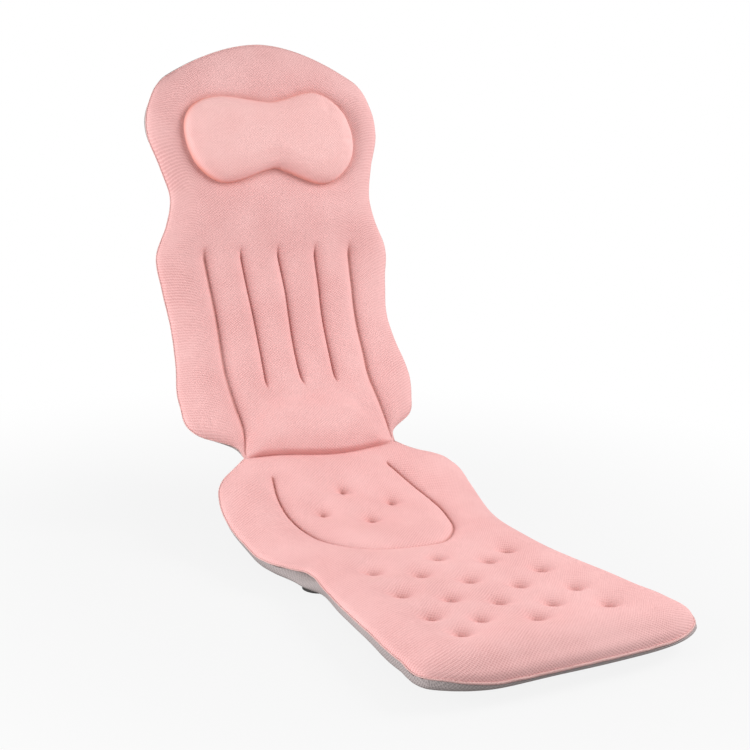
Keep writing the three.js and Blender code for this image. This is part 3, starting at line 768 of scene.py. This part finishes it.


# %% [markdown]
# ## Closing and finishing a panel
# The filled cover is closed underneath with plain strips from side to side, because nothing shows there,
# so that it becomes a stuffed form and not a skin. Its rim is creased, which keeps the sewn edge sharp
# when a subdivision makes the cloth finer. Only then is the last, narrow part of each sewn line pressed
# in, because the thread's own groove is finer than the filled grid.
# Each pressed line also notes the painted shade that darkens its crease.

# %% Closing and finishing
SMOOTH_BELOW, TOP_FROM, LEAST_LEFT = math.radians(60), 1.5, 1


def close_underside(panel):
    """Closes the cloth from side to side, with a sharp rim, and makes it finer."""
    mesh = panel.data
    row, column = grid_place(mesh)
    order = np.empty((row.max() + 1, column.max() + 1), int)
    order[row, column] = np.arange(len(row))
    pick(panel)
    mode("EDIT")
    work = bmesh.from_edit_mesh(mesh)
    work.verts.ensure_lookup_table()
    net = [[work.verts[i] for i in line] for line in order]
    rim = net[0] + [line[-1] for line in net[1:]] + net[-1][-2::-1] + [line[0] for line in net[-2:0:-1]]
    sharp = work.edges.layers.float.new("crease_edge")
    for a, b in zip(rim, rim[1:] + rim[:1]):
        work.edges.get((a, b))[sharp] = 1.0
    for near, far in zip(net[1:-2], net[2:-1]):
        work.faces.new((near[0], near[-1], far[-1], far[0]))
    work.faces.new(net[0] + [net[1][-1], net[1][0]])
    work.faces.new(net[-1] + [net[-2][-1], net[-2][0]])
    bmesh.update_edit_mesh(mesh)
    bpy.ops.mesh.select_all(action="SELECT")
    bpy.ops.mesh.normals_make_consistent(inside=False)
    mode("OBJECT")
    smoother = panel.modifiers.new("finer", "SUBSURF")
    smoother.levels = smoother.render_levels = 1
    bpy.ops.object.modifier_apply(modifier=smoother.name)


def press_in(piece, lines, toward_head, depth_mm, width_mm, ends=None, shown=1.0):
    """Presses the thread's groove into the fine cloth and notes the painted shade along it, or only notes
    the painted shade.
    """
    mesh = piece.data
    spot = spots(piece, toward_head)
    u, d = spot.T
    here = points_of(mesh)
    out = outward(toward_head * d)
    height = np.einsum("ij,ij->i", here - place(u, toward_head * d, 0), out) / MM
    groove_and_shade = bell(gap_to(spot, lines), width_mm) * (height > TOP_FROM) * (ends(u, d) if ends else 1)
    write_points(mesh, here - out * (np.minimum(depth_mm, height - LEAST_LEFT) * groove_and_shade)[:, None] * MM)
    # Painted shade: the share noted here darkens the colour along the crease.
    old = read(mesh, "groove_and_shade") if "groove_and_shade" in mesh.attributes else 0
    note(mesh, "groove_and_shade", np.maximum(old, shown * groove_and_shade))


def lay_weave(piece):
    """UV map of the cloth from the lengths that its points remember."""
    mesh = piece.data
    corner = np.empty(len(mesh.loops), np.int32)
    mesh.loops.foreach_get("vertex_index", corner)
    flat = pairs(read(mesh, "weave_u"), read(mesh, "weave_v"))[corner]
    weave = mesh.uv_layers.active or mesh.uv_layers.new(name="weave")
    weave.data.foreach_set("uv", flat.astype(np.float32).ravel())


def dress(piece, material, replaced):
    """Weave map, material and smooth shading of a padded piece; hides the solids that it replaces."""
    lay_weave(piece)
    piece.data.materials.append(material)
    pick(piece)
    bpy.ops.object.shade_smooth_by_angle(angle=SMOOTH_BELOW)
    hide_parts(*replaced)
    print(piece.name, "has", sum(len(p.vertices) - 2 for p in piece.data.polygons), "triangles")


# %% [markdown]
# ## The seat quilt
# The seat and leg mat has one sewn line round the place to sit, open towards the fold, with four tufts
# inside it, and eighteen tufts in staggered rows under the legs. The cover is laid a little low, pinned
# at all of those and at its rim, and filled.

# %% Seat quilt
TUFT_HOLD, LINE_HOLD = 3.6, 2.2

seat_swell, seat_height = (SEAM_GAP + h.reshape(seat_u.shape) for h in seat_form(pairs(seat_u, seat_d)))
seat_quilt = lay_cloth("seat_quilt", seat_u, -seat_d - fold_sag(seat_u, seat_d), seat_height, seat_swell)
on_seat = spots(seat_quilt, -1)
seat_tufts = [*pad_tufts[:, None], *leg_tufts[:, None]]
sewn = (gap_to(on_seat, [pad_line]) < LINE_HOLD) | (gap_to(on_seat, seat_tufts) < TUFT_HOLD)
fill(seat_quilt, at_rim(seat_quilt) | sewn, pressure=90, cap_mm=7)
close_underside(seat_quilt)
# Painted shade: a darker, browner tone along the pad line and at each tuft, a fainter one over a broad pit
# round each tuft, and a line along the fold.
press_in(seat_quilt, [pad_line], -1, depth_mm=2.0, width_mm=1.4)
press_in(seat_quilt, seat_tufts, -1, depth_mm=1.5, width_mm=3.0)
press_in(seat_quilt, seat_tufts, -1, depth_mm=0.0, width_mm=8.0, shown=0.4)
press_in(seat_quilt, [fold_line], -1, depth_mm=0.0, width_mm=2.0, shown=0.4)
dress(seat_quilt, pink_mesh, ["seat_top_cover", "seat_filling"])

# %% [markdown]
# ## The back quilt
# The back has five sewn channels. The outer two run down to the ends of the fold, and the inner three
# stop above a soft lumbar swell. Below its head end a bone-shaped pillow is sewn on, whose stitching
# draws the cover in a little all round.

# %% Back quilt
CHANNEL_HOLD = 1.2

back_swell, back_height = (SEAM_GAP + h.reshape(back_u.shape) for h in back_form(pairs(back_u, back_d)))
back_s = back_d - fold_sag(back_u, back_d) - roll_overhang(back_u, back_d)
back_quilt = lay_cloth("back_quilt", back_u, back_s, back_height, back_swell)
on_back = spots(back_quilt)
pillow_stitch = pillow_ring + [0, PILLOW_AT]
sewn = (gap_to(on_back, channels) < CHANNEL_HOLD) | (gap_to(on_back, [pillow_stitch]) < LINE_HOLD)
fill(back_quilt, at_rim(back_quilt) | sewn, pressure=30, cap_mm=4)
close_underside(back_quilt)
# Painted shade: a darker tone along the channels, a faint ring round the pillow's stitching, and a line
# along the fold.
press_in(back_quilt, channels, 1, depth_mm=1.2, width_mm=1.2, ends=channel_ends, shown=0.6)
press_in(back_quilt, [pillow_stitch], 1, depth_mm=0.0, width_mm=4.0, shown=0.4)
press_in(back_quilt, [fold_line * [1, -1]], 1, depth_mm=0.0, width_mm=2.0, shown=0.4)
dress(back_quilt, pink_mesh, ["back_top_cover", "back_filling", "lumbar_pad"])

# %% [markdown]
# ## The grey undersides
# Each mat's underside is one plain panel of thin grey net, slack enough to sag into a belly between the
# sewn edges. It is made as the tops are, turned over, with no sewing inside its rim. The belly shows
# past the seam where the photo has it do so, most at the left knee.

# %% Base covers
SEAT_BELLY, KNEE_BELLY, BACK_BELLY, BASE_LUMPS = 16.0, 5, 11.0, 1.2
BULGE, KNEE_BULGE, KNEE_AT = 3.5, 17, 281
LEG_BULGE = [320, 380, 450, 500, 555, 590], [0, 2.5, 2.5, 5, 5.5, 3]
BASE_ROUND, BASE_FOLD_ROUND = ([150, 230, 560, 600], [24, 13, 13, 9]), 30


def seat_sag(d):
    """Depth of the seat's belly: a little more at the knee."""
    return SEAT_BELLY + KNEE_BELLY * bell(d - 285, 40)


def back_sag(d):
    """Depth of the back's belly: less near the fold."""
    return BACK_BELLY - 0.6 * BACK_BELLY * bell(d, 70)


def seat_bulge(u, d):
    """How far the belly stands out past the seam."""
    knee = KNEE_BULGE * bell(d - KNEE_AT, np.where(d < KNEE_AT, 34, 21))
    return np.where(u < 0, knee, 0) + np.interp(d, *LEG_BULGE)


def back_bulge(u, d):
    """The same for the back: at the left of the head and the right of the hips."""
    return BULGE * np.where(u < 0, bell(d - 505, 30), bell(d - 85, 25))


def base_cover(name, cut, edge, toward_head, sag, bulge):
    u, d = lay_grid(cut, np.linspace(0, TUFTED_HALF, 16), 76, 10)
    points = pairs(u, d)
    at = points[:, 1]
    drop = seam_drop(points) if toward_head < 0 else 0
    full = rounded(gap_to(points, [edge]), np.interp(at, *BASE_ROUND))
    full = full * rounded(at - FOLD_SETBACK, BASE_FOLD_ROUND)
    depth = SEAM_GAP + drop + (sag(at) - drop + BASE_LUMPS * lumps(points, seed=7, size=18)) * full
    height = -depth.reshape(u.shape)
    out = (4 * full * (1 - full)).reshape(u.shape)
    u, d = u + np.sign(u) * bulge(u, d) * out, d + BULGE * out * eased((d - cut["end_from"]) / 40)
    panel = lay_cloth(name, u, toward_head * d, height, height)
    fill(panel, at_rim(panel), pressure=2, cap_mm=1.6)
    close_underside(panel)
    return panel


seat_base = base_cover("seat_base", SEAT_CUT, seat_edge, -1, seat_sag, seat_bulge)
dress(seat_base, grey_mesh, ["seat_base_cover"])
back_base = base_cover("back_base", BACK_CUT, back_edge, 1, back_sag, back_bulge)
dress(back_base, grey_mesh, ["back_base_cover"])

# %% [markdown]
# ## The head pillow
# A bone-shaped pillow is sewn on below the head end. Its cloth is a square grid like the others, first
# rounded to a disc and then stretched to the bone's outline, which keeps its rows even and needs no
# point in the middle where all would meet. It is domed and filled like the quilts, and its foot reaches
# a little into the quilt that it is sewn to.

# %% Head pillow
PILLOW_FOOT, PILLOW_RISE, PILLOW_ROUND, PILLOW_CROWN = 8.0, 22.0, 20.0, 4.0
PILLOW_COLUMNS, PILLOW_ROWS = 73, 49

side_a, side_b = np.meshgrid(np.linspace(-1, 1, PILLOW_COLUMNS), np.linspace(-1, 1, PILLOW_ROWS))
disc_x, disc_y = side_a * np.sqrt(1 - side_b ** 2 / 2), side_b * np.sqrt(1 - side_a ** 2 / 2)
bearing = np.arctan2(pillow_line[:, 1], pillow_line[:, 0] / 2)
by_bearing = np.argsort(bearing)
share, disc_bearing = np.hypot(disc_x, disc_y), np.arctan2(disc_y, disc_x)
pillow_u, pillow_v = (share * np.interp(disc_bearing, bearing[by_bearing], outline, period=2 * math.pi)
                      for outline in pillow_line[by_bearing].T)
inside = gap_to(pairs(pillow_u, pillow_v), [pillow_ring]).reshape(pillow_u.shape)
dome = PILLOW_FOOT + PILLOW_RISE * rounded(inside, PILLOW_ROUND) + PILLOW_CROWN * (1 - share ** 2)
fall = np.maximum(PILLOW_FOOT + PILLOW_RISE - dome, 0)
stretch = MM * (1 + fall / np.maximum(np.hypot(pillow_u, pillow_v), 1))
pillow = lay_cloth("head_pillow", pillow_u, PILLOW_AT + pillow_v, dome, dome,
                   (pillow_u * stretch, pillow_v * stretch))
fill(pillow, at_rim(pillow), pressure=12, cap_mm=3, reach_mm=12)
close_underside(pillow)
# Painted shade along the pillow's sewn rim.
press_in(pillow, [pillow_stitch], 1, depth_mm=0.0, width_mm=2.5)
dress(pillow, pillow_mesh, ["head_pillow_cover", "head_pillow_filling"])
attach(pillow, "back")

# %% [markdown]
# ## Seams
# Where top and underside meet, both layers are turned in and stitched, which leaves a thin ridge of
# doubled mesh all round. It is a curve along the sewn edge, a little proud of it and never quite
# straight, given a round section and made a mesh. It is thicker where the top wraps down at the foot.

# %% Edge seams
SEAM_RADIUS, SEAM_PROUD, SEAM_WAVE, FOOT_THICKER = 1.0, 0.3, 0.6, 0.08


def edge_seam(name, edge, toward_head):
    along = np.gradient(edge, axis=0)
    along /= np.linalg.norm(along, axis=1, keepdims=True)
    away = np.stack([along[:, 1], -along[:, 0]], axis=1) * np.sign(edge[0, 0] * along[0, 1])
    run = edge + away * SEAM_PROUD
    drop = seam_drop(edge) if toward_head < 0 else np.zeros(len(edge))
    points = place(run[:, 0], toward_head * run[:, 1], SEAM_WAVE * lumps(edge, seed=11, size=6) - drop)
    curve = bpy.data.curves.new(name, "CURVE")
    curve.dimensions = "3D"
    curve.bevel_depth = SEAM_RADIUS * MM
    curve.bevel_resolution = 2
    curve.use_fill_caps = True
    spline = curve.splines.new("POLY")
    spline.points.add(len(points) - 1)
    spline.points.foreach_set("co", np.concatenate([points, np.ones((len(points), 1))], axis=1).ravel())
    spline.points.foreach_set("radius", (1 + FOOT_THICKER * drop).astype(np.float32))
    seam = bpy.data.objects.new(name, curve)
    bpy.context.collection.objects.link(seam)
    pick(seam)
    bpy.ops.object.convert(target="MESH")
    seam.data.materials.append(seam_mesh)
    bpy.ops.object.shade_smooth_by_angle(angle=SMOOTH_BELOW)
    print(name, "runs", np.linalg.norm(np.diff(points, axis=0), axis=1).sum().round(3), "m")
    return seam


seat_seam = edge_seam("seat_edge_seam", seat_edge, -1)
back_seam = edge_seam("back_edge_seam", back_edge, 1)

# %% [markdown]
# ## The fold's tape
# Both mats are sewn to one tape, which is the hinge. It is a thin strip across the fold, cut into
# enough rows to bend, and it follows the seat on one side and the back on the other.

# %% Fold tape
TAPE_HALF_LENGTH, TAPE_HALF_THICKNESS, TAPE_CUTS = 7.0, 0.9, 15

bpy.ops.mesh.primitive_cube_add(size=2)
tape = bpy.context.object
tape.name = tape.data.name = "fold_tape_strip"
mode("EDIT")
bpy.ops.mesh.subdivide(number_cuts=TAPE_CUTS)
mode("OBJECT")
tape_u, tape_s, tape_h = (points_of(tape.data) * [FOLD_HALF, TAPE_HALF_LENGTH, TAPE_HALF_THICKNESS]).T
write_points(tape.data, place(tape_u, tape_s, tape_h))
tape.data.materials.append(pink_mesh)
note(tape.data, "weave_u", tape_u * MM)
note(tape.data, "weave_v", tape_s * MM)
lay_weave(tape)
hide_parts("fold_tape")
print("tape:", 2 * FOLD_HALF, "mm")

# %% [markdown]
# ## Baking the transforms
# Real cloth near the fold takes part in its turn. Here each piece only has its transform baked into its
# mesh.

# %% Baked transforms
for piece in (seat_quilt, seat_base, seat_seam, tape, back_quilt, back_base, back_seam):
    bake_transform(piece)

# %% [markdown]
# ## Suction cups
# Under the mat sit twelve soft vinyl cups. Each has a mushroom head that snaps into a vinyl button on
# the underside, so the cup can turn. Both are round, so one of each is turned up from a small circle,
# extruded and scaled ring by ring as on a lathe, and then copied to its place. The places and axes are
# those of the swivel joints.

# %% Turning a profile
TURNED_SIDES, POLE = 40, 0.004


def turned(name, profile, material):
    """Round piece about Z from (radius, height) points in mm; rings that meet are merged."""
    (radius, height), *rest = [(max(r, POLE) * MM, z * MM) for r, z in profile]
    bpy.ops.mesh.primitive_circle_add(vertices=TURNED_SIDES, radius=radius, location=(0, 0, height))
    piece = bpy.context.object
    piece.name = piece.data.name = name
    bpy.ops.object.transform_apply(location=True, rotation=False, scale=False)
    mode("EDIT")
    bpy.ops.mesh.select_all(action="SELECT")
    for r, z in rest:
        bpy.ops.mesh.extrude_region_move(TRANSFORM_OT_translate={"value": (0, 0, z - height)})
        bpy.ops.transform.resize(value=(r / radius, r / radius, 1), center_override=(0, 0, z))
        radius, height = r, z
    bpy.ops.mesh.select_all(action="SELECT")
    bpy.ops.mesh.remove_doubles(threshold=5 * POLE * MM)
    bpy.ops.mesh.normals_make_consistent(inside=False)
    mode("OBJECT")
    bpy.ops.object.shade_smooth_by_angle(angle=math.radians(35))
    piece.data.materials.append(material)
    return piece


def copied(model, name, joint):
    """A copy with its own mesh, its Z turned along the joint's axis."""
    copy = bpy.data.objects.new(name, model.data.copy())
    copy.data.name = name
    bpy.context.collection.objects.link(copy)
    aim = Vector(joint["axis"]).to_track_quat("Z", "X").to_matrix().to_4x4()
    copy.data.transform(Matrix.Translation(joint["pos_m"]) @ aim)
    return copy


# %% [markdown]
# ## Cups and their buttons
# The cup is a mushroom head, a short stem, a bell that flares out to a thin lip, and the hollow inside
# it. The button is a flat ring with a rounded shoulder, and a recess behind its bore for the head.

# %% Cups and buttons
STEM, BELL, MOUTH, NECK, CREST, STAND = 4.0, 20.5, 18.9, 5.5, 7.7, 14.0
outside = [(STEM + f * (BELL - STEM), NECK + f ** 1.6 * (STAND - NECK)) for f in np.linspace(0, 1, 13)]
hollow = [(f * MOUTH, CREST + f ** 2 * (STAND - CREST)) for f in np.linspace(1, 0, 12)]
cup_model = turned("cup_model", [(0, 0.3), (6.2, 0.3), (6.6, 0.6), (6.6, 1.8), (6.2, 2.1), (STEM, 2.1),
                                 *outside, (BELL - 0.3, STAND), *hollow], cup_vinyl)
shoulder = [(12 + math.cos(a), 3 + math.sin(a)) for a in np.linspace(0, math.pi / 2, 5)]
button_model = turned("button_model", [(6.9, 0), (13, 0), *shoulder, (4.6, 4), (4.3, 3.7), (4.3, 2.4),
                                       (6.9, 2.4), (6.9, 0)], button_vinyl)
swivels = [j for j in frame["joints"] if j["name"].endswith("_cup_swivel")]
for joint in swivels:
    spot = joint["name"].removesuffix("_cup_swivel")
    cup = copied(cup_model, spot + "_suction_cup", joint)
    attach(cup, joint["child"])
    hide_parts(spot + "_cup")
    button = copied(button_model, spot + "_button", joint)
    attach(button, joint["parent"])
    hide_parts(spot + "_socket")
for model in (cup_model, button_model):
    bpy.data.objects.remove(model)
print("cups:", len(swivels))

# %% [markdown]
# ## The floor
# The mat is shown on white, as in a shop picture. The floor is matt paper that throws a little light
# back up at the grey underside. To the camera most of it is plain white, so that only a soft trace of
# the mat's shadow is left near it.

# %% Floor
SHADOW_SHARE, SHADOW_FROM, SHADOW_TO, SHADOW_AT = 0.13, 0.3, 1.1, (0, 0.2, 0)
WHITE = (1, 1, 1, 1)

bpy.ops.mesh.primitive_plane_add(size=40)
floor = bpy.context.object
floor.name = "studio_floor"
floor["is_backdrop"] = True
paper, tree = blank("white_paper")
here = add(tree, "TexCoord").outputs["Object"]
grain = mix(tree, noise(tree, here, 4)[0], linear("#AEAEAE"), linear("#B4B4B4"))
matt = add(tree, "BsdfDiffuse", {"Color": grain})
plain = add(tree, "Emission", {"Color": WHITE, "Strength": 1.0})
away = add(tree, "VectorMath", {0: here, 1: SHADOW_AT}, operation="DISTANCE").outputs["Value"]
plain_share = ramp(tree, away, SHADOW_FROM, SHADOW_TO, 1 - SHADOW_SHARE, 1.0, kind="SMOOTHSTEP")
seen = calc(tree, "MULTIPLY", add(tree, "LightPath").outputs["Is Camera Ray"], plain_share)
mixed = add(tree, "MixShader", {0: seen, 1: matt.outputs[0], 2: plain.outputs[0]})
add(tree, "OutputMaterial", {"Surface": mixed.outputs[0]})
floor.data.materials.append(paper)
print("floor:", paper.name)

# %% [markdown]
# ## Light
# The key light is a lamp at the right, above the legs, which leaves the left-facing flank of every tuft
# and channel in shade. A low lamp at the left brightens only the rims that face it. A grey world fills
# the rest, and is plain white where it is seen.

# %% World and lamps
FILL_LIGHT, LAMP_SIZE = 0.38, 1.0
bpy.context.scene.view_settings.view_transform = "Standard"

world = bpy.data.worlds.new("studio")
world.use_nodes = True
bpy.context.scene.world = world
tree = world.node_tree
tree.nodes.clear()
rays = add(tree, "LightPath").outputs
shown = calc(tree, "MAXIMUM", rays["Is Camera Ray"], rays["Is Glossy Ray"])
shown = calc(tree, "MAXIMUM", shown, rays["Is Transmission Ray"])
soft = add(tree, "Background", {"Color": WHITE, "Strength": FILL_LIGHT})
white = add(tree, "Background", {"Color": WHITE, "Strength": 1.0})
mixed = add(tree, "MixShader", {0: shown, 1: soft.outputs[0], 2: white.outputs[0]})
add(tree, "OutputWorld", {"Surface": mixed.outputs[0]})


def lamp(name, place_m, aim_m, watts):
    bpy.ops.object.light_add(type="AREA", location=place_m)
    light = bpy.context.object
    light.name = name
    light.data.size = LAMP_SIZE
    light.data.energy = watts
    light.rotation_euler = (Vector(aim_m) - light.location).to_track_quat("-Z", "Y").to_euler()


lamp("right_softbox", (1.6, -0.35, 1.25), (0, -0.2, 0.05), 37)
lamp("left_softbox", (-1.7, 0.1, 0.55), (0, 0, 0.2), 26)

# %% [markdown]
# ## Size and finish
# The dressed mat has to stay as big as its solids. Both boxes are printed side by side.

# %% Size and finish
dressed_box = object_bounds()
for label, box in (("solids", cad_box), ("dressed", dressed_box)):
    print(label, "sides in mm:", [round((high - low) / MM, 1) for low, high in zip(*box)])
